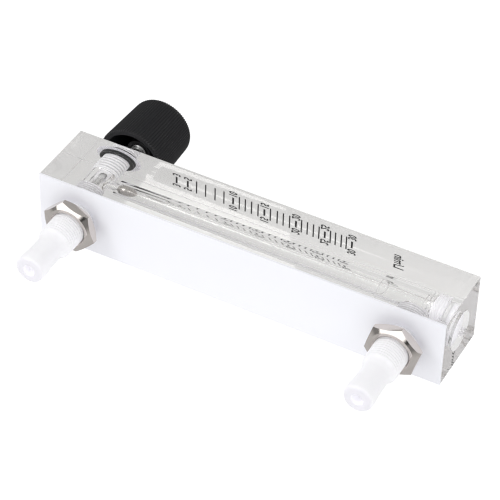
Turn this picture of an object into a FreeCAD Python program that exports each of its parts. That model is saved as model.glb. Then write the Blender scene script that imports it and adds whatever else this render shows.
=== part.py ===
import FreeCAD, Part
import math
import os

# Panel-mounted gas flowmeter with a float ball in a tapered bore, lying on one long side.
# X runs along the block towards the outlet, Y towards the scale and knob, Z up. Millimetres.
os.makedirs("parts", exist_ok=True)

# Driving dimensions of the block
BLOCK_LENGTH = 145.0
BLOCK_DEPTH = 26.0
BLOCK_HEIGHT = 25.0
SHEET_THICKNESS = 0.6
EDGE_CHAMFER = 0.15

# Driving dimensions of the float bore
BALL_DIAMETER = 6.75
TUBE_INLET_RADIUS = 3.45
TUBE_OUTLET_RADIUS = 4.6
TUBE_START = 22.0
CHAMBER_RADIUS = 5.2
CHAMBER_LENGTH = 15.5
DUCT_RADIUS = 1.8
BALL_SEAT_GAP = 0.02

# Driving dimensions of the two hose ports; a thread inside the block is a plain cylinder at its mean radius
PORT_INSET = 14.5
PORT_THREAD_RADIUS = 4.55
PORT_NECK_RADIUS = 4.2
PORT_DEPTH = 9.0
PORT_END_GAP = 0.15
PORT_END_CHAMFER = 0.4
PORT_SEAL_DEPTH = 1.9
PORT_SEAL_POCKET_RADIUS = 6.5
SHANK_RADIUS = 5.9
SHANK_LENGTH = 15.0
SHANK_CHAMFER = 0.4
SHANK_TAPER_LENGTH = 2.2
BARB_RADIUS = 4.65
BARB_LENGTH = 15.0
BARB_FLARE_START = 7.0
BARB_LAND_RADIUS = 4.95
BARB_LAND_START = 4.2
BARB_LAND_END = 1.6
BARB_NOSE_RADIUS = 4.6
BARB_NOSE_START = 0.8
BARB_TIP_RADIUS = 3.7
PORT_BORE_RADIUS = 2.0
BORE_MOUTH_CHAMFER = 0.4
ORIFICE_RADIUS = 1.4
ORIFICE_LENGTH = 1.5
NUT_ACROSS_FLATS = 17.0
NUT_THICKNESS = 4.0
NUT_STANDOFF = 2.8
NUT_FACE_MARGIN = 0.9
NUT_CORNER_ANGLE = 30.0
NUT_MOUTH_CHAMFER = 0.6
INLET_NUT_TURN = 43.0
OUTLET_NUT_TURN = 15.0

# Driving dimensions of the end plug
PLUG_THREAD_RADIUS = 5.5
PLUG_POCKET_RADIUS = 6.75
PLUG_POCKET_DEPTH = 4.5
PLUG_HOLE_LENGTH = 7.5
PLUG_RECESS = 1.8
PLUG_SIDE_GAP = 0.05
PLUG_NECK_RADIUS = 4.93
PLUG_NECK_START = 0.3
PLUG_NOSE_CHAMFER = 0.5
PLUG_SLOT_WIDTH = 1.4
PLUG_SLOT_DEPTH = 0.8
PLUG_SLOT_TURN = 30.0
PLUG_SEAL_DEPTH = 1.5

# Driving dimensions of the needle valve
VALVE_CHAMBER_RADIUS = 4.3
BUSH_THREAD_RADIUS = 4.65
BUSH_DEPTH = 9.4
BUSH_END_CHAMFER = 0.5
BUSH_EDGE_CHAMFER = 0.4
BUSH_SEAL_DEPTH = 1.4
BUSH_SEAL_POCKET_RADIUS = 6.6
SEAL_SIDE_GAP = 0.1
BUSH_FLANGE_RADIUS = 8.5
BUSH_FLANGE_THICKNESS = 2.0
BUSH_HEX_ACROSS_FLATS = 13.0
BUSH_HEX_HEIGHT = 3.5
BUSH_NECK_RADIUS = 4.5
BUSH_NECK_HEIGHT = 2.0
SPINDLE_PITCH = 0.8
SPINDLE_TURNS = 4.0
STEM_RADIUS = 2.1
SPINDLE_THREAD_RADIUS = 2.45
SPINDLE_THREAD_INSET = 5.0
SPINDLE_CHAMFER = 0.4
JOURNAL_RADIUS = 2.95
JOURNAL_START = 0.5
JOURNAL_LENGTH = 5.0
GROOVE_START = 1.9
GROOVE_WIDTH = 1.0
SPINDLE_SEAL_SECTION = 0.42
SHAFT_RADIUS = 2.3
SHAFT_END_GAP = 0.5
NEEDLE_LENGTH = 3.6
NEEDLE_TIP_RADIUS = 0.5
NEEDLE_GAP = 0.03
RUNNING_GAP = 0.05
THREAD_GAP = 0.03

# Driving dimensions of the knob
KNOB_RIM_RADIUS = 12.0
KNOB_TOP_RADIUS = 11.2
KNOB_LENGTH = 22.0
KNOB_STANDOFF = 8.0
KNOB_RIM_CHAMFER = 0.3
KNOB_EDGE_ROUND = 2.2
KNOB_ROUND_STEPS = 4
KNOB_WALL = 1.9
KNOB_TOP_THICKNESS = 3.6
KNOB_RIBS = 80
KNOB_RIB_DEPTH = 0.32
KNOB_HUB_RADIUS = 4.4
KNOB_HUB_INSET = 5.0
KNOB_WEBS = 4
KNOB_WEB_THICKNESS = 1.4
KNOB_WEB_INSET = 8.5
INSERT_RADIUS = 3.2
INSERT_LENGTH = 10.3
INSERT_PROUD = 0.8
INSERT_CHAMFER = 0.3

# Places worked out from the driving dimensions
LEFT_X = -BLOCK_LENGTH / 2
BACK_Y = -BLOCK_DEPTH / 2
FRONT_Y = BLOCK_DEPTH / 2
AXIS_Z = BLOCK_HEIGHT / 2
SOLID_BACK_Y = BACK_Y + SHEET_THICKNESS
INLET_X = LEFT_X + PORT_INSET
OUTLET_X = -INLET_X
TUBE_INLET_X = LEFT_X + TUBE_START
PLUG_SEAT_X = -LEFT_X - PLUG_POCKET_DEPTH
PLUG_START_X = PLUG_SEAT_X - PLUG_HOLE_LENGTH
PLUG_NOSE_X = OUTLET_X + PORT_THREAD_RADIUS + 3 * PORT_END_GAP
TUBE_OUTLET_X = PLUG_START_X - CHAMBER_LENGTH
TUBE_LENGTH = TUBE_OUTLET_X - TUBE_INLET_X
PORT_END_Y = BACK_Y + PORT_DEPTH
PORT_SEAL_FLOOR_Y = SOLID_BACK_Y + PORT_SEAL_DEPTH
BUSH_SEAL_FLOOR_Y = FRONT_Y - BUSH_SEAL_DEPTH
BUSH_END_Y = FRONT_Y - BUSH_DEPTH

VECTOR_X = FreeCAD.Vector(1, 0, 0)
VECTOR_Y = FreeCAD.Vector(0, 1, 0)
VECTOR_Z = FreeCAD.Vector(0, 0, 1)


def rod_y(radius, start, end, x):
    """Cylinder along Y between two places, on the middle height of the block."""
    base = FreeCAD.Vector(x, start, AXIS_Z)
    return Part.makeCylinder(radius, end - start, base, VECTOR_Y)


def rod_x(radius, start, end):
    """Cylinder along X between two places, on the axis of the float bore."""
    base = FreeCAD.Vector(start, 0, AXIS_Z)
    return Part.makeCylinder(radius, end - start, base, VECTOR_X)


def turned_y(profile, x):
    """Solid turned about the Y line at x from (radius, place along Y) points."""
    points = [FreeCAD.Vector(x + radius, y, AXIS_Z) for radius, y in profile]
    face = Part.Face(Part.makePolygon(points + points[:1]))
    return face.revolve(FreeCAD.Vector(x, 0, AXIS_Z), VECTOR_Y, 360)


def turned_x(profile):
    """Solid turned about the float bore's axis from (radius, place along X) points."""
    points = [FreeCAD.Vector(x, radius, AXIS_Z) for radius, x in profile]
    face = Part.Face(Part.makePolygon(points + points[:1]))
    return face.revolve(FreeCAD.Vector(0, 0, AXIS_Z), VECTOR_X, 360)


def seal_ring(inner_radius, outer_radius, centre, axis, squeeze):
    """O-ring flattened to the given height between the two faces that hold it."""
    section = (outer_radius - inner_radius) / 2
    ring = Part.makeTorus(inner_radius + section, section, centre, axis)
    base = centre - axis * (squeeze / 2)
    slab = Part.makeCylinder(2 * outer_radius, squeeze, base, axis)
    return ring.common(slab)


def hexagon_y(across_flats, start, end, x, turn):
    """Hexagonal prism along Y, its first corner turned up from +X by the given degrees."""
    corner = across_flats / math.sqrt(3)
    angles = [math.radians(turn + 60 * index) for index in range(6)]
    points = [FreeCAD.Vector(x + corner * math.cos(a), start, AXIS_Z + corner * math.sin(a)) for a in angles]
    face = Part.Face(Part.makePolygon(points + points[:1]))
    return face.extrude(FreeCAD.Vector(0, end - start, 0))


def make_block():
    """Clear block with the valve hole, the tapered float bore, the outlet chamber and the threaded holes."""
    corner = FreeCAD.Vector(LEFT_X, SOLID_BACK_Y, 0)
    block = Part.makeBox(BLOCK_LENGTH, FRONT_Y - SOLID_BACK_Y, BLOCK_HEIGHT, corner)
    front_edges = [edge for edge in block.Edges if edge.CenterOfMass.y > SOLID_BACK_Y + 0.01]
    block = block.makeChamfer(EDGE_CHAMFER, front_edges)
    valve_hole = rod_y(VALVE_CHAMBER_RADIUS, PORT_END_Y, BUSH_END_Y, INLET_X)
    valve_hole = valve_hole.fuse(rod_y(BUSH_THREAD_RADIUS, BUSH_END_Y, FRONT_Y, INLET_X))
    valve_hole = valve_hole.fuse(rod_y(BUSH_SEAL_POCKET_RADIUS, BUSH_SEAL_FLOOR_Y, FRONT_Y, INLET_X))
    tube = Part.makeCone(TUBE_INLET_RADIUS, TUBE_OUTLET_RADIUS, TUBE_LENGTH,
                         FreeCAD.Vector(TUBE_INLET_X, 0, AXIS_Z), VECTOR_X)
    duct = rod_x(DUCT_RADIUS, INLET_X, TUBE_INLET_X)
    chamber = rod_x(CHAMBER_RADIUS, TUBE_OUTLET_X, PLUG_START_X)
    plug_hole = rod_x(PLUG_THREAD_RADIUS, PLUG_START_X, PLUG_SEAT_X)
    plug_pocket = rod_x(PLUG_POCKET_RADIUS, PLUG_SEAT_X, -LEFT_X)
    for cut in (valve_hole, duct, tube, chamber, plug_hole, plug_pocket):
        block = block.cut(cut)
    for x in (INLET_X, OUTLET_X):
        block = block.cut(rod_y(PORT_THREAD_RADIUS, SOLID_BACK_Y, PORT_END_Y, x))
        block = block.cut(rod_y(PORT_SEAL_POCKET_RADIUS, SOLID_BACK_Y, PORT_SEAL_FLOOR_Y, x))
    return block


def make_sheet():
    """White sheet on the back of the block, with a hole for each port."""
    sheet = Part.makeBox(BLOCK_LENGTH, SHEET_THICKNESS, BLOCK_HEIGHT, FreeCAD.Vector(LEFT_X, BACK_Y, 0))
    for x in (INLET_X, OUTLET_X):
        sheet = sheet.cut(rod_y(SHANK_RADIUS + RUNNING_GAP, BACK_Y, SOLID_BACK_Y, x))
    return sheet


def make_port(x, inner_radius):
    """Hose port: threaded inner end, threaded shank for the nut, and a barb with a bore right through."""
    end = PORT_END_Y - PORT_END_GAP
    thread = PORT_THREAD_RADIUS - THREAD_GAP
    shank_end = BACK_Y - SHANK_LENGTH
    tip = shank_end - BARB_LENGTH
    profile = [
        (PORT_BORE_RADIUS, end - 1.4 * ORIFICE_LENGTH),
        (inner_radius, end - ORIFICE_LENGTH),
        (inner_radius, end),
        (thread - PORT_END_CHAMFER, end),
        (thread, end - PORT_END_CHAMFER),
        (thread, PORT_SEAL_FLOOR_Y),
        (PORT_NECK_RADIUS, PORT_SEAL_FLOOR_Y),
        (PORT_NECK_RADIUS, SOLID_BACK_Y),
        (SHANK_RADIUS, SOLID_BACK_Y),
        (SHANK_RADIUS, shank_end + SHANK_CHAMFER),
        (SHANK_RADIUS - SHANK_CHAMFER, shank_end),
        (BARB_RADIUS, shank_end - SHANK_TAPER_LENGTH),
        (BARB_RADIUS, tip + BARB_FLARE_START),
        (BARB_LAND_RADIUS, tip + BARB_LAND_START),
        (BARB_LAND_RADIUS, tip + BARB_LAND_END),
        (BARB_NOSE_RADIUS, tip + BARB_NOSE_START),
        (BARB_TIP_RADIUS, tip),
        (PORT_BORE_RADIUS + BORE_MOUTH_CHAMFER, tip),
        (PORT_BORE_RADIUS, tip + BORE_MOUTH_CHAMFER),
    ]
    if inner_radius >= PORT_BORE_RADIUS:
        profile = profile[2:]
    return turned_y(profile, x)


def make_port_seal(x):
    """O-ring between the port's shoulder and the floor of the pocket in the block."""
    centre = FreeCAD.Vector(x, SOLID_BACK_Y + PORT_SEAL_DEPTH / 2, AXIS_Z)
    return seal_ring(PORT_NECK_RADIUS, PORT_SEAL_POCKET_RADIUS - SEAL_SIDE_GAP, centre, VECTOR_Y, PORT_SEAL_DEPTH)


def make_nut(x, turn):
    """Thin hexagonal panel nut, its corners turned off on both faces."""
    near = BACK_Y - NUT_STANDOFF
    far = near - NUT_THICKNESS
    corner = NUT_ACROSS_FLATS / math.sqrt(3)
    face_radius = NUT_ACROSS_FLATS / 2 - NUT_FACE_MARGIN
    rise = (corner - face_radius) * math.tan(math.radians(NUT_CORNER_ANGLE))
    envelope = turned_y([(0, far), (face_radius, far), (corner, far + rise),
                         (corner, near - rise), (face_radius, near), (0, near)], x)
    bore_radius = SHANK_RADIUS + THREAD_GAP
    mouth = NUT_MOUTH_CHAMFER
    bore = turned_y([(0, far), (bore_radius + mouth, far), (bore_radius, far + mouth),
                     (bore_radius, near - mouth), (bore_radius + mouth, near), (0, near)], x)
    return hexagon_y(NUT_ACROSS_FLATS, far, near, x, turn).common(envelope).cut(bore)


def make_bush():
    """Valve bush: threaded barrel in the block, flange on the front face, hexagon and gland neck."""
    flange_top = FRONT_Y + BUSH_FLANGE_THICKNESS
    hex_top = flange_top + BUSH_HEX_HEIGHT
    neck_top = hex_top + BUSH_NECK_HEIGHT
    barrel = BUSH_THREAD_RADIUS - THREAD_GAP
    lead = BUSH_END_CHAMFER
    edge = BUSH_EDGE_CHAMFER
    body = turned_y([(0, BUSH_END_Y), (barrel - lead, BUSH_END_Y), (barrel, BUSH_END_Y + lead),
                     (barrel, FRONT_Y), (BUSH_FLANGE_RADIUS, FRONT_Y),
                     (BUSH_FLANGE_RADIUS, flange_top - edge), (BUSH_FLANGE_RADIUS - edge, flange_top),
                     (0, flange_top)], INLET_X)
    body = body.fuse(hexagon_y(BUSH_HEX_ACROSS_FLATS, flange_top, hex_top, INLET_X, 0))
    neck = turned_y([(0, hex_top), (BUSH_NECK_RADIUS, hex_top), (BUSH_NECK_RADIUS, neck_top - edge),
                     (BUSH_NECK_RADIUS - edge, neck_top), (0, neck_top)], INLET_X)
    body = body.fuse(neck).removeSplitter()
    step = journal_start() - SPINDLE_CHAMFER
    body = body.cut(rod_y(SPINDLE_THREAD_RADIUS + RUNNING_GAP, BUSH_END_Y, step, INLET_X))
    return body.cut(rod_y(JOURNAL_RADIUS + RUNNING_GAP, step, neck_top, INLET_X))


def journal_start():
    """Place along Y where the spindle widens to its sealed journal."""
    return FRONT_Y + JOURNAL_START


def needle_start():
    """Place along Y where the needle's cone leaves the stem, so that the cone just closes the orifice."""
    slope = (STEM_RADIUS - NEEDLE_TIP_RADIUS) / NEEDLE_LENGTH
    closing_radius = ORIFICE_RADIUS - NEEDLE_GAP
    return PORT_END_Y - PORT_END_GAP + (STEM_RADIUS - closing_radius) / slope


def make_spindle():
    """Spindle with needle, stem, threaded part, grooved journal and the shaft that carries the knob."""
    start = needle_start()
    thread_start = FRONT_Y - SPINDLE_THREAD_INSET
    journal = journal_start()
    groove = journal + GROOVE_START
    journal_end = journal + JOURNAL_LENGTH
    shaft_end = insert_start() + INSERT_LENGTH - SHAFT_END_GAP
    profile = [
        (0, start - NEEDLE_LENGTH),
        (NEEDLE_TIP_RADIUS, start - NEEDLE_LENGTH),
        (STEM_RADIUS, start),
        (STEM_RADIUS, thread_start - SPINDLE_CHAMFER),
        (SPINDLE_THREAD_RADIUS, thread_start),
        (SPINDLE_THREAD_RADIUS, journal - SPINDLE_CHAMFER / 2),
        (JOURNAL_RADIUS, journal),
        (JOURNAL_RADIUS, groove),
        (STEM_RADIUS, groove),
        (STEM_RADIUS, groove + GROOVE_WIDTH),
        (JOURNAL_RADIUS, groove + GROOVE_WIDTH),
        (JOURNAL_RADIUS, journal_end),
        (SHAFT_RADIUS, journal_end),
        (SHAFT_RADIUS, shaft_end),
        (0, shaft_end),
    ]
    return turned_y(profile, INLET_X)


def make_spindle_seal():
    """O-ring in the spindle's groove."""
    middle = journal_start() + GROOVE_START + GROOVE_WIDTH / 2
    radius = (STEM_RADIUS + JOURNAL_RADIUS + RUNNING_GAP) / 2
    return Part.makeTorus(radius, SPINDLE_SEAL_SECTION, FreeCAD.Vector(INLET_X, middle, AXIS_Z), VECTOR_Y)


def make_bush_seal():
    """O-ring between the bush flange and the floor of its pocket."""
    centre = FreeCAD.Vector(INLET_X, FRONT_Y - BUSH_SEAL_DEPTH / 2, AXIS_Z)
    return seal_ring(BUSH_THREAD_RADIUS, BUSH_SEAL_POCKET_RADIUS - SEAL_SIDE_GAP, centre, VECTOR_Y, BUSH_SEAL_DEPTH)


def insert_start():
    """Place along Y of the knob insert's open end."""
    return FRONT_Y + KNOB_STANDOFF + KNOB_HUB_INSET - INSERT_PROUD


def ribbed_outline(radius, y):
    """Points round the knob that rise and fall once for each rib."""
    points = []
    for index in range(2 * KNOB_RIBS):
        reach = radius if index % 2 == 0 else radius * (1 - KNOB_RIB_DEPTH / KNOB_RIM_RADIUS)
        angle = math.pi / KNOB_RIBS * index
        points.append(FreeCAD.Vector(INLET_X + reach * math.cos(angle), y, AXIS_Z + reach * math.sin(angle)))
    return points


def ribbed_body(base, top):
    """Solid ribbed body, a little narrower towards the far end, whose ribs follow the rounded far edge."""
    levels = [(KNOB_RIM_RADIUS - KNOB_RIM_CHAMFER, base), (KNOB_RIM_RADIUS, base + KNOB_RIM_CHAMFER)]
    for step in range(KNOB_ROUND_STEPS + 1):
        angle = math.pi / 2 * step / KNOB_ROUND_STEPS
        radius = KNOB_TOP_RADIUS - KNOB_EDGE_ROUND * (1 - math.cos(angle))
        levels.append((radius, top - KNOB_EDGE_ROUND * (1 - math.sin(angle))))
    rings = [ribbed_outline(radius, y) for radius, y in levels]
    faces = [Part.Face(Part.makePolygon(ring + ring[:1])) for ring in (rings[0], rings[-1])]
    for lower, upper in zip(rings[:-1], rings[1:]):
        for index in range(len(lower)):
            following = (index + 1) % len(lower)
            corners = [lower[index], lower[following], upper[following], upper[index], lower[index]]
            faces.append(Part.Face(Part.makePolygon(corners)))
    shell = Part.makeShell(faces)
    shell.sewShape()
    solid = Part.makeSolid(shell)
    if solid.Volume < 0:
        solid.reverse()
    return solid


def make_knob():
    """Cup-shaped knob: ribbed skirt with a rounded far edge, a hub and webs inside."""
    base = FRONT_Y + KNOB_STANDOFF
    top = base + KNOB_LENGTH
    floor = top - KNOB_TOP_THICKNESS
    hub_start = base + KNOB_HUB_INSET
    recess = turned_y([(0, base), (KNOB_RIM_RADIUS - KNOB_WALL, base),
                       (KNOB_TOP_RADIUS - KNOB_WALL, floor), (0, floor)], INLET_X)
    recess = recess.cut(rod_y(KNOB_HUB_RADIUS, hub_start, floor, INLET_X))
    for index in range(KNOB_WEBS):
        corner = FreeCAD.Vector(INLET_X, base + KNOB_WEB_INSET, AXIS_Z - KNOB_WEB_THICKNESS / 2)
        web = Part.makeBox(KNOB_RIM_RADIUS, floor - base - KNOB_WEB_INSET, KNOB_WEB_THICKNESS, corner)
        web.rotate(FreeCAD.Vector(INLET_X, 0, AXIS_Z), VECTOR_Y, 45 + 360 / KNOB_WEBS * index)
        recess = recess.cut(web)
    recess = recess.fuse(rod_y(INSERT_RADIUS, hub_start, insert_start() + INSERT_LENGTH, INLET_X))
    return ribbed_body(base, top).cut(recess)


def make_insert():
    """Metal insert in the knob's hub, pressed on the spindle shaft."""
    start = insert_start()
    end = start + INSERT_LENGTH
    edge = INSERT_CHAMFER
    return turned_y([(SHAFT_RADIUS, start), (INSERT_RADIUS - edge, start), (INSERT_RADIUS, start + edge),
                     (INSERT_RADIUS, end), (SHAFT_RADIUS, end)], INLET_X)


def make_ball():
    """Float ball, resting against the mouth of the duct."""
    radius = BALL_DIAMETER / 2
    reach = math.sqrt(radius ** 2 - DUCT_RADIUS ** 2)
    return Part.makeSphere(radius, FreeCAD.Vector(TUBE_INLET_X + reach + BALL_SEAT_GAP, 0, AXIS_Z))


def make_plug():
    """Slotted end plug: threaded nose, neck for the seal and a round head below the end face."""
    nose = PLUG_NOSE_X
    neck = PLUG_SEAT_X - PLUG_NECK_START
    head = PLUG_SEAT_X + PLUG_SEAL_DEPTH
    face = -LEFT_X - PLUG_RECESS
    thread = PLUG_THREAD_RADIUS - THREAD_GAP
    lead = PLUG_NOSE_CHAMFER
    head_radius = PLUG_POCKET_RADIUS - PLUG_SIDE_GAP
    plug = turned_x([(0, nose), (thread - lead, nose), (thread, nose + lead), (thread, neck),
                     (PLUG_NECK_RADIUS, neck), (PLUG_NECK_RADIUS, head), (head_radius, head),
                     (head_radius, face), (0, face)])
    corner = FreeCAD.Vector(face - PLUG_SLOT_DEPTH, -2 * head_radius, AXIS_Z - PLUG_SLOT_WIDTH / 2)
    slot = Part.makeBox(PLUG_SLOT_DEPTH, 4 * head_radius, PLUG_SLOT_WIDTH, corner)
    slot.rotate(FreeCAD.Vector(0, 0, AXIS_Z), VECTOR_X, PLUG_SLOT_TURN)
    return plug.cut(slot)


def make_plug_seal():
    """O-ring under the head of the end plug."""
    centre = FreeCAD.Vector(PLUG_SEAT_X + PLUG_SEAL_DEPTH / 2, 0, AXIS_Z)
    return seal_ring(PLUG_NECK_RADIUS, PLUG_POCKET_RADIUS - SEAL_SIDE_GAP, centre, VECTOR_X, PLUG_SEAL_DEPTH)


PARTS = {
    "meter_block": make_block(),
    "back_sheet": make_sheet(),
    "inlet_port": make_port(INLET_X, ORIFICE_RADIUS),
    "outlet_port": make_port(OUTLET_X, PORT_BORE_RADIUS),
    "inlet_port_seal": make_port_seal(INLET_X),
    "outlet_port_seal": make_port_seal(OUTLET_X),
    "inlet_nut": make_nut(INLET_X, INLET_NUT_TURN),
    "outlet_nut": make_nut(OUTLET_X, OUTLET_NUT_TURN),
    "valve_bush": make_bush(),
    "valve_bush_seal": make_bush_seal(),
    "valve_spindle": make_spindle(),
    "spindle_seal": make_spindle_seal(),
    "knob": make_knob(),
    "knob_insert": make_insert(),
    "float_ball": make_ball(),
    "end_plug": make_plug(),
    "end_plug_seal": make_plug_seal(),
}

for name, shape in PARTS.items():
    shape.exportStep(f"parts/{name}.step")
    print(name, shape.isValid(), len(shape.Solids), round(shape.Volume, 1))
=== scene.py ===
import math

import bmesh
import bpy
from mathutils import Matrix, Vector


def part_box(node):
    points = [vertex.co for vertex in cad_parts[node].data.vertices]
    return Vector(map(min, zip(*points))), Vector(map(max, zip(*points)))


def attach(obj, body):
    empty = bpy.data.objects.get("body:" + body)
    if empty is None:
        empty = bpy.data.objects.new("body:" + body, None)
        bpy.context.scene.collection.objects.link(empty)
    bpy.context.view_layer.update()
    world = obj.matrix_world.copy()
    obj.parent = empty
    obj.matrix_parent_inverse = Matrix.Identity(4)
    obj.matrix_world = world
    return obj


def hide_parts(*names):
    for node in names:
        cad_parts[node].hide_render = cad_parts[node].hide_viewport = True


# Gas flowmeter lying on one long side. X runs towards the outlet, Y towards the scale and knob, Z up.
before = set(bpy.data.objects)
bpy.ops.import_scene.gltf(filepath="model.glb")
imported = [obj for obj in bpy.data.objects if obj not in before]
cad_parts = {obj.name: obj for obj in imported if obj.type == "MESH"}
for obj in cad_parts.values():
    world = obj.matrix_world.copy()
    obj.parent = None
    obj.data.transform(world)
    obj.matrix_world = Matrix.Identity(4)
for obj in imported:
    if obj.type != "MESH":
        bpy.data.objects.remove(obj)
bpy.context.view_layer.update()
MM = 0.001

# The part's own sizes in millimetres, as in its source
LEFT_X = -72.5
RIGHT_X = 72.5
FRONT_Y = 13.0
BACK_Y = -13.0
SOLID_BACK_Y = -12.4
HEIGHT = 25.0
AXIS_Z = 12.5
BLOCK_CHAMFER = 0.15
INLET_X = -58.0
OUTLET_X = 58.0
TUBE_X = (-50.5, 45.0)
TUBE_RADII = (3.45, 4.6)
DUCT_RADIUS = 1.8
CHAMBER_RADIUS = 5.2
PLUG_HOLE_X = (60.5, 68.0)
PLUG_POCKET_RADIUS = 6.75
PORT_HOLE_END_Y = -4.0
PORT_HOLE_RADIUS = 4.55
PORT_POCKET_Y = -10.5
PORT_POCKET_RADIUS = 6.5
VALVE_CHAMBER_RADIUS = 4.3
BUSH_HOLE_Y = (3.6, 11.6)
BUSH_HOLE_RADIUS = 4.65
BUSH_POCKET_RADIUS = 6.6
SHANK_LENGTH = 15.0
BARB_LENGTH = 15.0
PORT_END_Y = -4.15
PORT_NECK_RADIUS = 4.2
PORT_BORE_RADIUS = 2.0
ORIFICE_RADIUS = 1.4
BALL_RADIUS = 3.375

# Where the threaded mesh of the inlet port has narrowed its bore down to the orifice
ORIFICE_START_Y = -6.6

# Threads, which the source leaves plain: crest radius, pitch and depth
PORT_THREAD = (4.85, 0.907, 0.27)
SHANK_THREAD = (5.9, 1.0, 0.14)
BUSH_THREAD = (5.05, 1.25, 0.38)
PLUG_THREAD = (5.85, 1.25, 0.31)
PLUG_HOLE_THREAD = (5.83, 1.25, 0.31)

# Where the threads start and end
PORT_THREAD_Y = (-4.5, -10.4)
SHANK_THREAD_Y = (-12.6, -27.5)
BUSH_THREAD_Y = (3.8, 11.55)
PLUG_THREAD_X = (63.3, 67.7)

# Form of every thread: steepness of its flanks and width of its flat root, and at both ends a run-out,
# as its length in pitches and how far the crest drops, as a share of the depth
FLANK_SLOPE = 1.6
ROOT_FLAT = 0.3
RUN_OUT = 0.6
RUN_OUT_DROP = 0.25

# Fineness of turned meshes
BLOCK_SEGMENTS = 192
TURNED_SEGMENTS = 96
ROWS_PER_PITCH = 10

# Share of the light that one outer face of the clear block keeps back in its shadow, and the distances
# from the block's middle along X, Z and Y past which a point belongs to an outer face
SHADOW_LOSS = 0.15
OUTER_FACES = (72.2, 12.3, 12.3)

# Frosted skin of the drilled valve hole: its roughness, and the radii and places where it fades out
FROST = 0.1
FROST_RADII = (4.4, 4.8)
FROST_Y = (4.0, 5.0)

# Glow of the table: as seen directly, and as seen through the clear block at its left and right end, where
# it is a painted shadow of the block; and as a painted reflection in glossy surfaces, far away and near,
# between two places along Y
FLOOR_SEEN = 0.95
FLOOR_THROUGH_SHADED = (0.54, 0.69)
FLOOR_PAINTED_REFLECTION = (0.05, 0.43)
FLOOR_PAINTED_REFLECTION_Y = (-75.0, -35.0)

# Strength of the white dome: as seen, as mirrored, and as mirrored on the camera's side, where it is
# dark below and bright above. The last three place that side along Y, and tilt and raise the edge between.
SKY_SEEN = 0.75
SKY_MIRRORED = 0.5
SKY_BAND = (0.04, 1.9)
SKY_SIDE = (-0.6, -0.3)
SKY_TILT = 0.35
SKY_EDGE = (0.0, 0.1)

# What the lights aim at, and how far the table lies under the part, in metres
LIGHT_TARGET = (0, 0, 0.01)
TABLE_GAP = 0.00002

# Painted light: glow of the white parts inside the block, for the light that the clear walls pass to and
# fro, of the white film behind them, and in the ports' bores
INNER_PAINTED_LIGHT = 0.13
FILM_PAINTED_LIGHT = 0.2
BORE_PAINTED_LIGHT = 0.12

# Painted shade: darker colour of the hose ports' end faces and of the end plug's head
END_FACE_SHADE = (0.80, 0.79, 0.835)

# Painted shade: darker colour of the roots of the threads inside the block
ROOT_SHADE_COLOUR = (0.55, 0.545, 0.56)

# Zones of the nylon parts, each as the range over which it fades. A depth is the distance from the middle
# plane along Y, and radii are taken from the axis of the ports and the bush.
BURIED_DEPTH = (13.01, 13.04)
BORE_RADII = (2.05, 2.2)
SHADED_END_DEPTH = (42.3, 42.9)
PLUG_HEAD_X = (67.8, 68.2)
ROOT_SHADE_RADII = (4.68, 4.95)

# Middle and half length of the stretch along Y that has threads, on either side of the middle plane
THREADED_DEPTH = 7.1
THREADED_HALF_LENGTH = 3.35

# White film: its gap to the back sheet, and how far it stays inside the block's edges
FILM_GAP = 0.015
FILM_EDGE = 0.02

# Values that most of a noise texture lies between
NOISE_RANGE = (0.3, 0.7)


# Node helpers
def feed(tree, socket, value):
    """Sets a socket to a value, or links it to another node's output."""
    if isinstance(value, bpy.types.NodeSocket):
        tree.links.new(value, socket)
    else:
        socket.default_value = value


def node(tree, kind, place, inputs=None):
    """A shader node at a place in the tree, with its inputs given by name or number."""
    made = tree.nodes.new(kind)
    made.location = place
    for key, value in (inputs or {}).items():
        feed(tree, made.inputs[key], value)
    return made


def maths(tree, operation, first, second=0.0, place=(0, 0), third=0.0):
    """Output of a Math node."""
    made = node(tree, "ShaderNodeMath", place)
    made.operation = operation
    for socket, value in zip(made.inputs, (first, second, third)):
        feed(tree, socket, value)
    return made.outputs[0]


def spread(tree, value, low, high, new_low, new_high, place=(0, 0)):
    """Output of a Map Range node."""
    inputs = {"Value": value, "From Min": low, "From Max": high, "To Min": new_low, "To Max": new_high}
    return node(tree, "ShaderNodeMapRange", place, inputs).outputs["Result"]


def noise(tree, vector, scale, detail, place):
    """Output of a Noise Texture node."""
    inputs = {"Scale": scale, "Detail": detail, "Vector": vector}
    return node(tree, "ShaderNodeTexNoise", place, inputs).outputs["Fac"]


def mixed(tree, fac, low, high, place):
    """A number that runs from low to high with a factor."""
    return node(tree, "ShaderNodeMix", place, {"Factor": fac, 2: low, 3: high}).outputs[0]


def mixed_colour(tree, fac, low, high, place):
    """A colour that runs from low to high with a factor. The low one may be another node's output."""
    made = node(tree, "ShaderNodeMix", place)
    made.data_type = "RGBA"
    feed(tree, made.inputs["Factor"], fac)
    feed(tree, made.inputs[6], low if isinstance(low, bpy.types.NodeSocket) else (*low, 1.0))
    feed(tree, made.inputs[7], (*high, 1.0))
    return made.outputs[2]


def tinted(tree, fac, low, high, shader):
    """Base colour that runs from one colour to another with a factor."""
    feed(tree, shader.inputs["Base Color"], mixed_colour(tree, fac, low, high, (-300, 200)))


def bump(tree, height, strength, distance, shader):
    """A bumpy surface for the shader."""
    inputs = {"Strength": strength, "Distance": distance, "Height": height}
    made = node(tree, "ShaderNodeBump", (-250, -300), inputs)
    feed(tree, shader.inputs["Normal"], made.outputs["Normal"])


def uneven(tree, place, scale, detail, low, high, shader):
    """Roughness that wanders between two values."""
    patches = noise(tree, place, scale, detail, (-760, -60))
    feed(tree, shader.inputs["Roughness"], spread(tree, patches, *NOISE_RANGE, low, high, (-400, -60)))


def from_axis(tree, across, above, place):
    """Distance from a turning axis, from the two offsets at right angles to it."""
    x, y = place
    squares = [maths(tree, "POWER", value, 2.0, (x, y)) for value in (across, above)]
    return maths(tree, "SQRT", maths(tree, "ADD", *squares, (x + 160, y)), 0.0, (x + 320, y))


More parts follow.
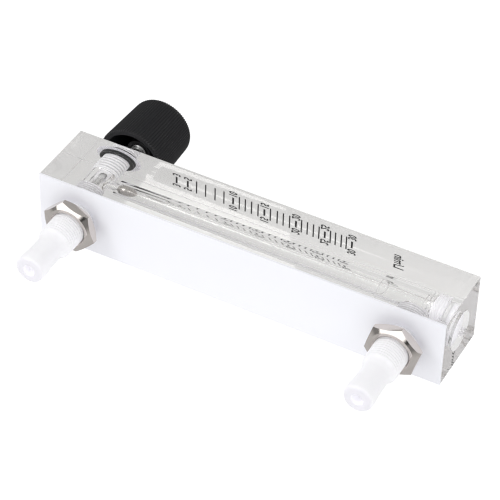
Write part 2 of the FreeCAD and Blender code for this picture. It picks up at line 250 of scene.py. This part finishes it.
def mirror_ray(tree, lights, place):
    """One for a ray that a glossy surface has reflected, and nought for a refracted one."""
    refracted = maths(tree, "SUBTRACT", 1.0, lights.outputs["Is Transmission Ray"], place)
    return maths(tree, "MULTIPLY", lights.outputs["Is Glossy Ray"], refracted, (place[0] + 160, place[1]))


def blank(name, settings):
    """A material with a Principled shader of the given settings, and object coordinates in millimetres."""
    material = bpy.data.materials.new(name)
    material.use_nodes = True
    tree = material.node_tree
    shader = tree.nodes["Principled BSDF"]
    for key, value in settings.items():
        shader.inputs[key].default_value = value
    coords = node(tree, "ShaderNodeTexCoord", (-1300, 0))
    scaled = node(tree, "ShaderNodeVectorMath", (-1120, 0))
    scaled.operation = "SCALE"
    feed(tree, scaled.inputs[0], coords.outputs["Object"])
    feed(tree, scaled.inputs["Scale"], 1.0 / MM)
    return material, tree, shader, scaled.outputs[0]


# Materials
def make_acrylic():
    """Clear acrylic, polished outside, with a frosted skin in the drilled valve hole."""
    settings = {"Base Color": (0.985, 0.985, 0.98, 1.0), "Transmission Weight": 1.0, "IOR": 1.49}
    material, tree, shader, place = blank("clear_acrylic", settings)
    parts = node(tree, "ShaderNodeSeparateXYZ", (-940, 0), {0: place})
    above = maths(tree, "SUBTRACT", parts.outputs[2], AXIS_Z, (-760, -60))
    across = maths(tree, "SUBTRACT", parts.outputs[0], INLET_X, (-760, 400))
    from_valve = from_axis(tree, across, above, (-600, 400))
    drilled = spread(tree, from_valve, *FROST_RADII, FROST, 0.0, (-120, 400))
    inside = spread(tree, parts.outputs[1], *FROST_Y, 1.0, 0.0, (-120, 560))
    feed(tree, shader.inputs["Roughness"], maths(tree, "MULTIPLY", drilled, inside, (60, 480)))

    # Only the outer faces keep light back
    values = (parts.outputs[0], above, parts.outputs[1])
    faces = []
    for index, (value, limit) in enumerate(zip(values, OUTER_FACES)):
        row = -200 - 140 * index
        reach = maths(tree, "ABSOLUTE", value, 0.0, (-600, row))
        faces.append(maths(tree, "GREATER_THAN", reach, limit, (-440, row)))
    outer = maths(tree, "MAXIMUM", maths(tree, "MAXIMUM", *faces[:2], (-280, -260)), faces[2], (-120, -300))
    loss = maths(tree, "MULTIPLY", outer, SHADOW_LOSS, (20, -300))
    shade = maths(tree, "SUBTRACT", 1.0, loss, (160, -240))
    lights = node(tree, "ShaderNodeLightPath", (160, 320))
    clear = node(tree, "ShaderNodeBsdfTransparent", (160, 160), {"Color": shade})
    shaders = {0: lights.outputs["Is Shadow Ray"], 1: shader.outputs[0], 2: clear.outputs[0]}
    surface = node(tree, "ShaderNodeMixShader", (360, 120), shaders)
    thin = {"Color": (0.55, 0.45, 0.36, 1.0), "Density": 3.0}
    haze = node(tree, "ShaderNodeVolumeAbsorption", (360, -60), thin)
    output = tree.nodes["Material Output"]
    feed(tree, output.inputs["Surface"], surface.outputs[0])
    feed(tree, output.inputs["Volume"], haze.outputs[0])
    return material


def make_sheet(name, glow):
    """White backing sheet with a faint cool tint. The film behind the clear block glows a little with
    painted light.
    """
    settings = {"Roughness": 0.5, "Emission Color": (1.0, 0.99, 0.98, 1.0), "Emission Strength": glow}
    material, tree, shader, place = blank(name, settings)
    fac = noise(tree, place, 0.04, 2.0, (-560, 200))
    tinted(tree, fac, (0.87, 0.875, 0.925), (0.90, 0.905, 0.945), shader)
    bump(tree, noise(tree, place, 2.5, 4.0, (-560, -200)), 0.05, 0.0001, shader)
    return material


def make_nylon():
    """Milky white nylon with a moulded satin skin, which glows a little with painted light where it sits in
    the block and in the ports' bores, and has painted shade on its end faces and thread roots.
    """
    settings = {
        "Subsurface Weight": 0.6,
        "Subsurface Radius": (1.0, 0.97, 1.0),
        "Subsurface Scale": 0.003,
        "Emission Color": (1.0, 0.99, 1.0, 1.0),
    }
    material, tree, shader, place = blank("white_nylon", settings)
    fac = noise(tree, place, 0.25, 3.0, (-960, 200))
    moulded = mixed_colour(tree, fac, (0.915, 0.905, 0.96), (0.945, 0.935, 0.985), (-760, 200))
    uneven(tree, place, 1.2, 3.0, 0.32, 0.45, shader)
    bump(tree, noise(tree, place, 3.0, 3.0, (-560, -240)), 0.06, 0.0002, shader)

    # Distances from the middle plane along Y and from the axis of the ports and the bush
    parts = node(tree, "ShaderNodeSeparateXYZ", (-940, -400), {0: place})
    depth = maths(tree, "ABSOLUTE", parts.outputs[1], 0.0, (-760, -400))
    mirrored_x = maths(tree, "ABSOLUTE", parts.outputs[0], 0.0, (-760, -600))
    across = maths(tree, "SUBTRACT", mirrored_x, OUTLET_X, (-600, -600))
    above = maths(tree, "SUBTRACT", parts.outputs[2], AXIS_Z, (-760, -760))
    from_port = from_axis(tree, across, above, (-440, -600))

    # Painted light: glow inside the block and in the ports' bores
    buried = spread(tree, depth, *BURIED_DEPTH, INNER_PAINTED_LIGHT, 0.0, (-560, -400))
    bore = spread(tree, from_port, *BORE_RADII, BORE_PAINTED_LIGHT, 0.0, (40, -600))
    feed(tree, shader.inputs["Emission Strength"], maths(tree, "MAXIMUM", buried, bore, (200, -500)))

    # Painted shade: greyer end faces and thread roots
    cut = spread(tree, depth, *SHADED_END_DEPTH, 0.0, 1.0, (-560, 340))
    head = spread(tree, parts.outputs[0], *PLUG_HEAD_X, 0.0, 1.0, (-560, 180))
    end = maths(tree, "MAXIMUM", cut, head, (-480, 260))
    end_shaded = mixed_colour(tree, end, moulded, END_FACE_SHADE, (-400, 340))
    threaded = maths(tree, "COMPARE", depth, THREADED_DEPTH, (-560, 500), THREADED_HALF_LENGTH)
    root_shade = spread(tree, from_port, *ROOT_SHADE_RADII, 1.0, 0.0, (-560, 660))
    tinted(tree, maths(tree, "MULTIPLY", root_shade, threaded, (-400, 600)), end_shaded, ROOT_SHADE_COLOUR, shader)
    return material


def make_nickel():
    """Nickel plate, bright and slightly warm."""
    material, tree, shader, place = blank("nickel_plate", {"Metallic": 1.0})
    fac = noise(tree, place, 0.6, 3.0, (-560, 200))
    tinted(tree, fac, (0.64, 0.595, 0.56), (0.715, 0.67, 0.64), shader)
    uneven(tree, place, 4.0, 3.0, 0.06, 0.14, shader)
    bump(tree, noise(tree, place, 6.0, 2.0, (-560, -240)), 0.03, 0.0001, shader)
    return material


def make_rubber():
    """Black O-ring rubber."""
    material, tree, shader, place = blank("black_rubber", {"Specular IOR Level": 0.08})
    fac = noise(tree, place, 1.5, 3.0, (-560, 200))
    tinted(tree, fac, (0.005, 0.005, 0.006), (0.014, 0.014, 0.015), shader)
    uneven(tree, place, 3.0, 2.0, 0.35, 0.6, shader)
    bump(tree, noise(tree, place, 4.0, 3.0, (-560, -240)), 0.15, 0.0003, shader)
    return material


def make_steel(name, low, high):
    """Turned stainless steel between two tones, with turning marks round Y."""
    material, tree, shader, place = blank(name, {"Metallic": 1.0})
    parts = node(tree, "ShaderNodeSeparateXYZ", (-940, 0), {0: place})
    phase = maths(tree, "MULTIPLY", parts.outputs[1], 26.0, (-760, -200))
    tinted(tree, noise(tree, place, 0.9, 3.0, (-560, 200)), low, high, shader)
    uneven(tree, place, 4.0, 3.0, 0.2, 0.32, shader)
    bump(tree, maths(tree, "SINE", phase, 0.0, (-600, -200)), 0.08, 0.0001, shader)
    return material


def make_polished():
    """Satin ball steel, a little brown."""
    material, tree, shader, place = blank("polished_steel", {"Metallic": 1.0})
    fac = noise(tree, place, 0.5, 2.0, (-560, 200))
    tinted(tree, fac, (0.42, 0.395, 0.375), (0.50, 0.475, 0.455), shader)
    uneven(tree, place, 3.0, 3.0, 0.24, 0.32, shader)
    return material


def make_black():
    """Satin black moulded plastic."""
    material, tree, shader, place = blank("black_plastic", {"Specular IOR Level": 0.27})
    fac = noise(tree, place, 0.8, 4.0, (-560, 200))
    tinted(tree, fac, (0.011, 0.011, 0.0122), (0.016, 0.016, 0.0176), shader)
    uneven(tree, place, 2.0, 3.0, 0.42, 0.55, shader)
    bump(tree, noise(tree, place, 7.0, 4.0, (-560, -240)), 0.12, 0.0001, shader)
    return material


def make_ink():
    """Black screen-printed ink."""
    material, tree, shader, place = blank("print_ink", {"Roughness": 0.6, "Specular IOR Level": 0.05})
    fac = noise(tree, place, 5.0, 3.0, (-560, 200))
    tinted(tree, fac, (0.003, 0.003, 0.004), (0.008, 0.008, 0.009), shader)
    bump(tree, noise(tree, place, 9.0, 2.0, (-560, -240)), 0.1, 0.0001, shader)
    return material


def make_silicone():
    """Milky silicone of the end plug's seal."""
    settings = {"Subsurface Weight": 0.6, "Subsurface Radius": (1.0, 0.97, 1.0), "Subsurface Scale": 0.002}
    material, tree, shader, place = blank("white_silicone", settings)
    fac = noise(tree, place, 0.8, 3.0, (-560, 200))
    tinted(tree, fac, (0.80, 0.80, 0.81), (0.88, 0.88, 0.89), shader)
    uneven(tree, place, 3.0, 2.0, 0.3, 0.5, shader)
    return material


def make_floor():
    """Pale glowing table: white to the eye, greyer through the clear block as a painted shadow, dark when
    mirrored far away as a painted reflection.
    """
    settings = {
        "Base Color": (0.2, 0.2, 0.2, 1.0),
        "Roughness": 0.9,
        "Specular IOR Level": 0.0,
        "Emission Color": (1.0, 1.0, 1.0, 1.0),
    }
    material, tree, shader, place = blank("table_white", settings)
    lights = node(tree, "ShaderNodeLightPath", (-1120, 500))
    parts = node(tree, "ShaderNodeSeparateXYZ", (-940, 0), {0: place})
    # Painted reflection: the table is dark when mirrored far away
    mirrored = spread(tree, parts.outputs[1], *FLOOR_PAINTED_REFLECTION_Y, *FLOOR_PAINTED_REFLECTION, (-760, 0))
    # Painted shadow of the block: the table is greyer where it is seen through the clear block
    losses = [FLOOR_SEEN - glow for glow in FLOOR_THROUGH_SHADED]
    loss = spread(tree, parts.outputs[0], LEFT_X, RIGHT_X, *losses, (-940, 300))
    through = maths(tree, "MULTIPLY", lights.outputs["Is Transmission Ray"], loss, (-760, 300))
    direct = maths(tree, "SUBTRACT", FLOOR_SEEN, through, (-600, 300))
    glow = mixed(tree, mirror_ray(tree, lights, (-600, 500)), direct, mirrored, (-420, 100))
    feed(tree, shader.inputs["Emission Strength"], glow)
    return material


acrylic = make_acrylic()
sheet_white = make_sheet("white_sheet", 0.0)
film_white = make_sheet("film_white", FILM_PAINTED_LIGHT)
nylon = make_nylon()
nickel = make_nickel()
rubber = make_rubber()
steel = make_steel("turned_steel", (0.60, 0.60, 0.60), (0.72, 0.72, 0.71))
# Painted shade: the knob insert's steel is made much darker, for the shade inside the knob
shaded_steel = make_steel("shaded_steel", (0.16, 0.16, 0.16), (0.26, 0.26, 0.26))
polished = make_polished()
black = make_black()
ink = make_ink()
silicone = make_silicone()
floor_white = make_floor()

DRESS = {
    "meter_block": acrylic,
    "back_sheet": sheet_white,
    "inlet_port": nylon,
    "outlet_port": nylon,
    "inlet_port_seal": rubber,
    "outlet_port_seal": rubber,
    "inlet_nut": nickel,
    "outlet_nut": nickel,
    "valve_bush": nylon,
    "valve_bush_seal": rubber,
    "valve_spindle": steel,
    "spindle_seal": rubber,
    "knob": black,
    "knob_insert": shaded_steel,
    "float_ball": polished,
    "end_plug": nylon,
    "end_plug_seal": silicone,
}
for name, material in DRESS.items():
    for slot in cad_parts[name].material_slots:
        slot.link = "OBJECT"
        slot.material = material


# Mesh helpers
def piece(name, verts, faces, material, body, slot, smooth=True, crease=32, replaces=()):
    """A mesh piece from points in millimetres, riding on a body. Edges past the crease angle stay sharp."""
    mesh = bpy.data.meshes.new(name)
    mesh.from_pydata([(x * MM, y * MM, z * MM) for x, y, z in verts], [], faces)
    mesh.validate()
    mesh.update()
    mesh.materials.append(material)
    obj = bpy.data.objects.new(name, mesh)
    bpy.context.scene.collection.objects.link(obj)
    if smooth:
        mesh.polygons.foreach_set("use_smooth", [True] * len(mesh.polygons))
        mesh.set_sharp_from_angle(angle=math.radians(crease))
    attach(obj, body)
    if replaces:
        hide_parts(*replaces)


def along_y(x):
    """Places a turned point (radius, place, angle) round the Y line at x."""
    return lambda r, place, angle: (x + r * math.cos(angle), place, AXIS_Z + r * math.sin(angle))


def along_x(r, place, angle):
    """Places a turned point round the float bore's axis."""
    return (place, r * math.cos(angle), AXIS_Z + r * math.sin(angle))


def turned(rows, put, segments=TURNED_SEGMENTS, closed=True):
    """Points and faces of a turned form. A row is (radius, place) or (radius, place, pitch, depth)."""
    verts = []
    faces = []
    for radius, place, *thread in rows:
        for index in range(segments):
            reach = radius
            if thread:
                pitch, depth = thread
                phase = (place / pitch - index / segments) % 1.0
                wave = 1 - abs(2 * phase - 1)
                reach = radius - depth * (1 - min(1.0, max(0.0, FLANK_SLOPE * wave - ROOT_FLAT)))
            verts.append(put(reach, place, 2 * math.pi * index / segments))
    count = len(rows)
    for ring in range(count if closed else count - 1):
        here = ring * segments
        after = (ring + 1) % count * segments
        for index in range(segments):
            near = (index + 1) % segments
            faces.append((here + index, here + near, after + near, after + index))
    return verts, faces


def thread_rows(thread, start, end):
    """Rows of a thread between two places, running out flat at both ends."""
    crest, pitch, depth = thread
    steps = max(2, int(abs(end - start) / (pitch / ROWS_PER_PITCH)))
    rows = []
    for index in range(steps + 1):
        place = start + (end - start) * index / steps
        nearness = min(1.0, min(abs(place - start), abs(place - end)) / (RUN_OUT * pitch))
        rows.append((crest - (1 - nearness) * RUN_OUT_DROP * depth, place, pitch, depth * nearness))
    return rows


def arc_rows(centre_r, centre_p, radius, start, end, steps):
    """Rows along an arc in the (radius, place) plane, angles in degrees from outwards."""
    rows = []
    for index in range(steps + 1):
        angle = math.radians(start + (end - start) * index / steps)
        rows.append((centre_r + radius * math.cos(angle), centre_p + radius * math.sin(angle)))
    return rows


def rod_rows(steps):
    """Rows of a stepped rod. A step is (radius, start, end), and for a cone it also has its end radius."""
    rows = []
    for radius, start, end, *last in steps:
        rows += [(radius, start), (last[0] if last else radius, end)]
    return rows


# Clear block with finely meshed holes, so that the light bends evenly through it
def block_blank():
    """Points and faces of the uncut block: narrow chamfers everywhere but round its back."""
    edge = BLOCK_CHAMFER
    inner = (LEFT_X + edge, RIGHT_X - edge)
    rise = (edge, HEIGHT - edge)
    outline = [(inner[0], 0), (inner[1], 0), (RIGHT_X, rise[0]), (RIGHT_X, rise[1])]
    outline += [(inner[1], HEIGHT), (inner[0], HEIGHT), (LEFT_X, rise[1]), (LEFT_X, rise[0])]
    verts = [(x, SOLID_BACK_Y, z) for x, z in outline]
    verts += [(x, FRONT_Y - edge, z) for x, z in outline]
    verts += [(x, FRONT_Y, z) for x in inner for z in rise]
    faces = [tuple(range(8))]
    faces += [(index, (index + 1) % 8, 8 + (index + 1) % 8, 8 + index) for index in range(8)]
    faces += [(8, 9, 18, 16), (9, 10, 18), (10, 11, 19, 18), (11, 12, 19), (12, 13, 17, 19), (13, 14, 17)]
    faces += [(14, 15, 16, 17), (15, 8, 16), (16, 18, 19, 17)]
    return verts, faces


def cutter(rows, put):
    """Points and faces of a turned solid, closed at both ends, for cutting a hole."""
    verts, faces = turned(rows, put, BLOCK_SEGMENTS, closed=False)
    faces.append(tuple(range(BLOCK_SEGMENTS)))
    faces.append(tuple(range(len(verts) - BLOCK_SEGMENTS, len(verts))))
    return verts, faces


def holder_of(verts, faces):
    """A scene object with the given mesh, its faces turned outwards."""
    mesh = bpy.data.meshes.new("blank")
    mesh.from_pydata(verts, [], faces)
    work = bmesh.new()
    work.from_mesh(mesh)
    bmesh.ops.recalc_face_normals(work, faces=work.faces[:])
    work.to_mesh(mesh)
    work.free()
    holder = bpy.data.objects.new("blank", mesh)
    bpy.context.scene.collection.objects.link(holder)
    return holder


def carved(base, holes):
    """Points and faces of a solid with the others cut out of it."""
    holders = [holder_of(*shape) for shape in (base, *holes)]
    for hole in holders[1:]:
        cut = holders[0].modifiers.new("cut", "BOOLEAN")
        cut.operation = "DIFFERENCE"
        cut.solver = "EXACT"
        cut.object = hole
    graph = bpy.context.evaluated_depsgraph_get()
    made = bpy.data.meshes.new_from_object(holders[0].evaluated_get(graph))
    verts = [tuple(v.co) for v in made.vertices]
    faces = [tuple(p.vertices) for p in made.polygons]
    bpy.data.meshes.remove(made)
    for holder in holders:
        mesh = holder.data
        bpy.data.objects.remove(holder)
        bpy.data.meshes.remove(mesh)
    return verts, faces


def make_clear_block():
    """The clear block, with a thread in the end plug's hole."""
    outside = 2.0
    port_steps = [
        (PORT_POCKET_RADIUS, SOLID_BACK_Y - outside, PORT_POCKET_Y),
        (PORT_HOLE_RADIUS, PORT_POCKET_Y, PORT_HOLE_END_Y),
    ]
    valve_steps = port_steps + [
        (VALVE_CHAMBER_RADIUS, PORT_HOLE_END_Y, BUSH_HOLE_Y[0]),
        (BUSH_HOLE_RADIUS, *BUSH_HOLE_Y),
        (BUSH_POCKET_RADIUS, BUSH_HOLE_Y[1], FRONT_Y + outside),
    ]
    bore_steps = [
        (DUCT_RADIUS, INLET_X, TUBE_X[0]),
        (TUBE_RADII[0], *TUBE_X, TUBE_RADII[1]),
        (CHAMBER_RADIUS, TUBE_X[1], PLUG_HOLE_X[0]),
    ]
    bore_rows = rod_rows(bore_steps) + thread_rows(PLUG_HOLE_THREAD, *PLUG_HOLE_X)
    bore_rows += rod_rows([(PLUG_POCKET_RADIUS, PLUG_HOLE_X[1], RIGHT_X + outside)])
    inlet = cutter(rod_rows(valve_steps), along_y(INLET_X))
    outlet = cutter(rod_rows(port_steps), along_y(OUTLET_X))
    verts, faces = carved(block_blank(), [inlet, outlet, cutter(bore_rows, along_x)])
    settings = {"crease": 12, "replaces": ("meter_block",)}
    piece("meter_block_clear", verts, faces, acrylic, "block", "clear_acrylic", **settings)


make_clear_block()

# Hose port's shoulder and barb: radius, and place along Y from the shank's end and from the barb's tip
SHOULDER = ((5.75, 0.25), (5.45, 0.0), (5.1, -1.0), (4.85, -1.7), (4.7, -2.3), (4.65, -3.0))
BARB = ((4.65, 7.2), (4.68, 6.4), (4.76, 5.6), (4.87, 4.8), (4.94, 4.1), (4.95, 3.4), (4.95, 1.8))


def make_port(name, x, orifice):
    """A hose port with both its threads and a softly rounded barb."""
    shank_end = BACK_Y - SHANK_LENGTH
    tip = shank_end - BARB_LENGTH
    rows = [(PORT_BORE_RADIUS, tip + 0.5)]
    if orifice < PORT_BORE_RADIUS:
        rows.append((orifice, ORIFICE_START_Y))
    rows += [(orifice, PORT_END_Y), (PORT_NECK_RADIUS, PORT_END_Y)]
    rows += thread_rows(PORT_THREAD, *PORT_THREAD_Y)
    rows += [(PORT_NECK_RADIUS, PORT_POCKET_Y), (PORT_NECK_RADIUS, SOLID_BACK_Y), (5.88, SOLID_BACK_Y)]
    rows += thread_rows(SHANK_THREAD, *SHANK_THREAD_Y)
    rows += [(radius, shank_end + rise) for radius, rise in SHOULDER]
    rows += [(radius, tip + rise) for radius, rise in BARB]
    rows += arc_rows(3.75, tip + 1.2, 1.2, 0, -90, 6)
    rows += arc_rows(2.3, tip + 0.3, 0.3, -90, -180, 3)
    verts, faces = turned(rows, along_y(x))
    piece(f"{name}_port_threaded", verts, faces, nylon, "block", "white_nylon", replaces=(f"{name}_port",))


make_port("inlet", INLET_X, ORIFICE_RADIUS)
make_port("outlet", OUTLET_X, PORT_BORE_RADIUS)


def make_thread(name, thread, span, core, ends, put):
    """Thread of a nylon part that is screwed into the block, standing a little into it, round a core."""
    rows = [(core, ends[0]), *thread_rows(thread, *span), (core, ends[1])]
    verts, faces = turned(rows, put)
    piece(name, verts, faces, nylon, "block", "white_nylon")


def make_seated_seal():
    """O-ring of the bush, squeezed against the floor and wall of its pocket."""
    rows = [(5.0, 11.58), (6.5, 11.58), (6.62, 11.62), (6.63, 12.0), (6.63, 12.75), (6.62, 12.84)]
    rows += [(6.5, 12.97), (5.1, 12.97), (4.9, 12.85), (4.74, 12.5), (4.74, 11.9)]
    verts, faces = turned(rows, along_y(INLET_X))
    replaced = ("valve_bush_seal",)
    piece("valve_bush_seal_seated", verts, faces, rubber, "block", "black_rubber", replaces=replaced)


def make_ball():
    """Float ball, finely meshed so that it reflects cleanly."""
    low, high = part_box("float_ball")
    centre = [(a + b) / 2 / MM for a, b in zip(low, high)]
    mesh = bmesh.new()
    bmesh.ops.create_icosphere(mesh, subdivisions=5, radius=BALL_RADIUS)
    verts = [tuple(v.co[i] + centre[i] for i in range(3)) for v in mesh.verts]
    faces = [tuple(v.index for v in f.verts) for f in mesh.faces]
    mesh.free()
    replaced = ("float_ball",)
    piece("float_ball_polished", verts, faces, polished, "float", "polished_steel", replaces=replaced)


make_thread("valve_bush_thread", BUSH_THREAD, BUSH_THREAD_Y, 4.3, (3.62, 11.57), along_y(INLET_X))
make_thread("end_plug_thread", PLUG_THREAD, PLUG_THREAD_X, 4.9, (63.1, 67.7), along_x)
make_seated_seal()
make_ball()


# Printed scale on the front face: reading runs along +Z, the tops of the figures point to +X.
# Each mark stands at a distance from the block's left end. A tick is its half width and half length, and
# LETTER_SHARE is the share of the font's size that a capital is high.
MARKS = {
    3: 36.5, 5: 40.7, 6: 44.0, 7: 47.4, 8: 50.9, 9: 54.2, 10: 57.6, 11: 59.9, 12: 62.1, 13: 64.4,
    14: 66.8, 15: 69.1, 16: 71.3, 17: 73.8, 18: 76.0, 19: 78.3, 20: 80.6, 21: 82.6, 22: 84.7, 23: 86.9,
    24: 88.9, 25: 91.0, 26: 93.0, 27: 94.8, 28: 96.9, 29: 98.7, 30: 100.7,
}
NUMBERED = (3, 5, 10, 15, 20, 25, 30)
NUMBERED_TICK = (0.35, 2.65)
PLAIN_TICK = (0.24, 5.1)
ONE_DIGIT_OFFSET = 4.3
TWO_DIGIT_OFFSET = 5.85
FIGURE_HEIGHT = 2.9
UNIT_HEIGHT = 3.5
UNIT_PLACE = 117.3
PRINT_DEPTH = 0.012
LETTER_SHARE = 0.70
LETTER_SWELL = 0.1
PRINT_TURN = Matrix(((0, 1, 0, 0), (0, 0, 1, 0), (1, 0, 0, 0), (0, 0, 0, 1)))


def bar(low, high):
    """Points and faces of a box between two corners."""
    verts = [(x, y, z) for x in (low[0], high[0]) for y in (low[1], high[1]) for z in (low[2], high[2])]
    faces = [(0, 1, 3, 2), (4, 6, 7, 5), (0, 4, 5, 1), (2, 3, 7, 6), (0, 2, 6, 4), (1, 5, 7, 3)]
    return verts, faces


def text_solid(words, height, x, z):
    """Points and faces of printed words of that letter height, centred at x and z on the front face."""
    curve = bpy.data.curves.new("words", "FONT")
    curve.body = words
    curve.align_x = "CENTER"
    curve.align_y = "CENTER"
    curve.size = height * MM / LETTER_SHARE
    curve.extrude = PRINT_DEPTH * MM
    curve.resolution_u = 3
    curve.offset = LETTER_SWELL * MM
    holder = bpy.data.objects.new("words", curve)
    bpy.context.scene.collection.objects.link(holder)
    bpy.context.view_layer.update()
    mesh = bpy.data.meshes.new_from_object(holder)
    corners = [v.co for v in mesh.vertices]
    mid_u = (min(c.x for c in corners) + max(c.x for c in corners)) / 2
    mid_v = (min(c.y for c in corners) + max(c.y for c in corners)) / 2
    verts = []
    for corner in corners:
        put = PRINT_TURN @ Vector((corner.x - mid_u, corner.y - mid_v, corner.z))
        verts.append((put.x / MM + x, put.y / MM + FRONT_Y, put.z / MM + z))
    faces = [tuple(p.vertices) for p in mesh.polygons]
    bpy.data.objects.remove(holder)
    bpy.data.meshes.remove(mesh)
    bpy.data.curves.remove(curve)
    return verts, faces


def make_scale():
    """All ticks, figures and the unit, as one thin print."""
    printed = []
    for value, place in MARKS.items():
        x = place + LEFT_X
        half_width, half_length = NUMBERED_TICK if value in NUMBERED else PLAIN_TICK
        low = (x - half_width, FRONT_Y - PRINT_DEPTH, AXIS_Z - half_length)
        high = (x + half_width, FRONT_Y + PRINT_DEPTH, AXIS_Z + half_length)
        printed.append(bar(low, high))
        if value in NUMBERED:
            offset = ONE_DIGIT_OFFSET if value < 10 else TWO_DIGIT_OFFSET
            printed.append(text_solid(str(value), FIGURE_HEIGHT, x, AXIS_Z - offset))
            printed.append(text_solid(str(value), FIGURE_HEIGHT, x, AXIS_Z + offset))
    printed.append(text_solid("L/min", UNIT_HEIGHT, UNIT_PLACE + LEFT_X, AXIS_Z))
    verts = []
    faces = []
    for part_verts, part_faces in printed:
        faces += [tuple(i + len(verts) for i in face) for face in part_faces]
        verts += part_verts
    piece("scale_print", verts, faces, ink, "block", "black_rubber", smooth=False)


make_scale()


def make_film():
    """White film bonded to the back of the clear block and seen through it, with a hole for each port."""
    y = SOLID_BACK_Y + FILM_GAP
    ends = (LEFT_X + FILM_EDGE, RIGHT_X - FILM_EDGE)
    sides = (FILM_EDGE, HEIGHT - FILM_EDGE)
    loops = [[(ends[0], sides[0]), (ends[1], sides[0]), (ends[1], sides[1]), (ends[0], sides[1])]]
    angles = [math.radians(a) for a in range(0, 360, 5)]
    reach = PORT_POCKET_RADIUS
    for x in (INLET_X, OUTLET_X):
        loops.append([(x + reach * math.cos(a), AXIS_Z + reach * math.sin(a)) for a in angles])
    mesh = bmesh.new()
    for points in loops:
        made = [mesh.verts.new((x, y, z)) for x, z in points]
        for first, second in zip(made, made[1:] + made[:1]):
            mesh.edges.new((first, second))
    bmesh.ops.triangle_fill(mesh, use_beauty=True, edges=mesh.edges[:])
    within = reach - 0.1
    for face in list(mesh.faces):
        centre = face.calc_center_median()
        if any(math.hypot(centre.x - x, centre.z - AXIS_Z) < within for x in (INLET_X, OUTLET_X)):
            mesh.faces.remove(face)
    mesh.verts.index_update()
    verts = [tuple(v.co) for v in mesh.verts]
    faces = [tuple(v.index for v in f.verts) for f in mesh.faces]
    mesh.free()
    piece("back_film", verts, faces, film_white, "block", "white_sheet", smooth=False)


make_film()


# Table, light and camera
def make_stage():
    """Flat table under the part."""
    mesh = bpy.data.meshes.new("table_top")
    reach = 3.0
    corners = [(-reach, -reach, 0), (reach, -reach, 0), (reach, reach, 0), (-reach, reach, 0)]
    mesh.from_pydata(corners, [], [(0, 1, 2, 3)])
    mesh.materials.append(floor_white)
    table = bpy.data.objects.new("table_top", mesh)
    table.location = (0, 0, -TABLE_GAP)
    bpy.context.scene.collection.objects.link(table)


def make_light(name, place, size, energy):
    """Square soft light aimed at the part."""
    data = bpy.data.lights.new(name, "AREA")
    data.shape = "RECTANGLE"
    data.size = size
    data.size_y = size
    data.energy = energy
    lamp = bpy.data.objects.new(name, data)
    lamp.location = place
    aim = Vector(LIGHT_TARGET) - Vector(place)
    lamp.rotation_euler = aim.to_track_quat("-Z", "Y").to_euler()
    bpy.context.scene.collection.objects.link(lamp)


def make_world():
    """White studio dome. Mirror reflections see a bright band over a dark gap on the camera's side."""
    world = bpy.data.worlds.new("studio")
    bpy.context.scene.world = world
    world.use_nodes = True
    tree = world.node_tree
    background = tree.nodes["Background"]
    coords = node(tree, "ShaderNodeTexCoord", (-1100, 0))
    lights = node(tree, "ShaderNodeLightPath", (-540, 400))
    parts = node(tree, "ShaderNodeSeparateXYZ", (-900, 0), {0: coords.outputs["Generated"]})
    near = spread(tree, parts.outputs[1], *SKY_SIDE, 1.0, 0.0, (-720, 0))
    leftward = maths(tree, "MULTIPLY", parts.outputs[0], SKY_TILT, (-720, -300))
    height = maths(tree, "SUBTRACT", parts.outputs[2], leftward, (-540, -300))
    band = spread(tree, height, *SKY_EDGE, *SKY_BAND, (-360, -300))
    mirrored = mixed(tree, near, SKY_MIRRORED, band, (-180, -100))
    strength = mixed(tree, mirror_ray(tree, lights, (-360, 400)), SKY_SEEN, mirrored, (0, 100))
    background.inputs["Color"].default_value = (1.0, 1.0, 1.0, 1.0)
    feed(tree, background.inputs["Strength"], strength)


def make_camera():
    """Camera at the photograph's place, fitted to the block's corners."""
    data = bpy.data.cameras.new("camera")
    data.sensor_width = 36.0
    data.lens = 164.89
    data.clip_start = 0.01
    data.clip_end = 20.0
    camera = bpy.data.objects.new("camera", data)
    bpy.context.scene.collection.objects.link(camera)
    right = Vector((0.88002941, 0.47429407, 0.02435919))
    down = Vector((0.33029908, -0.57438663, -0.74898766))
    ahead = Vector((-0.34124881, 0.66717699, -0.66213602))
    turn = Matrix((right, -down, -ahead)).transposed()
    place = Vector((0.248964, -0.489702, 0.499298))
    camera.matrix_world = Matrix.Translation(place) @ turn.to_4x4()
    bpy.context.scene.camera = camera


make_stage()
make_world()
make_light("key", (-0.55, -0.6, 0.8), 0.5, 3.2)
make_light("fill", (0.7, -0.3, 0.5), 0.4, 0.8)
make_camera()
bpy.context.scene.view_settings.view_transform = "Standard"
bpy.context.scene.cycles.filter_width = 1.3
bpy.context.scene.cycles.max_bounces = 24
bpy.context.scene.cycles.glossy_bounces = 16
bpy.context.scene.cycles.transmission_bounces = 24
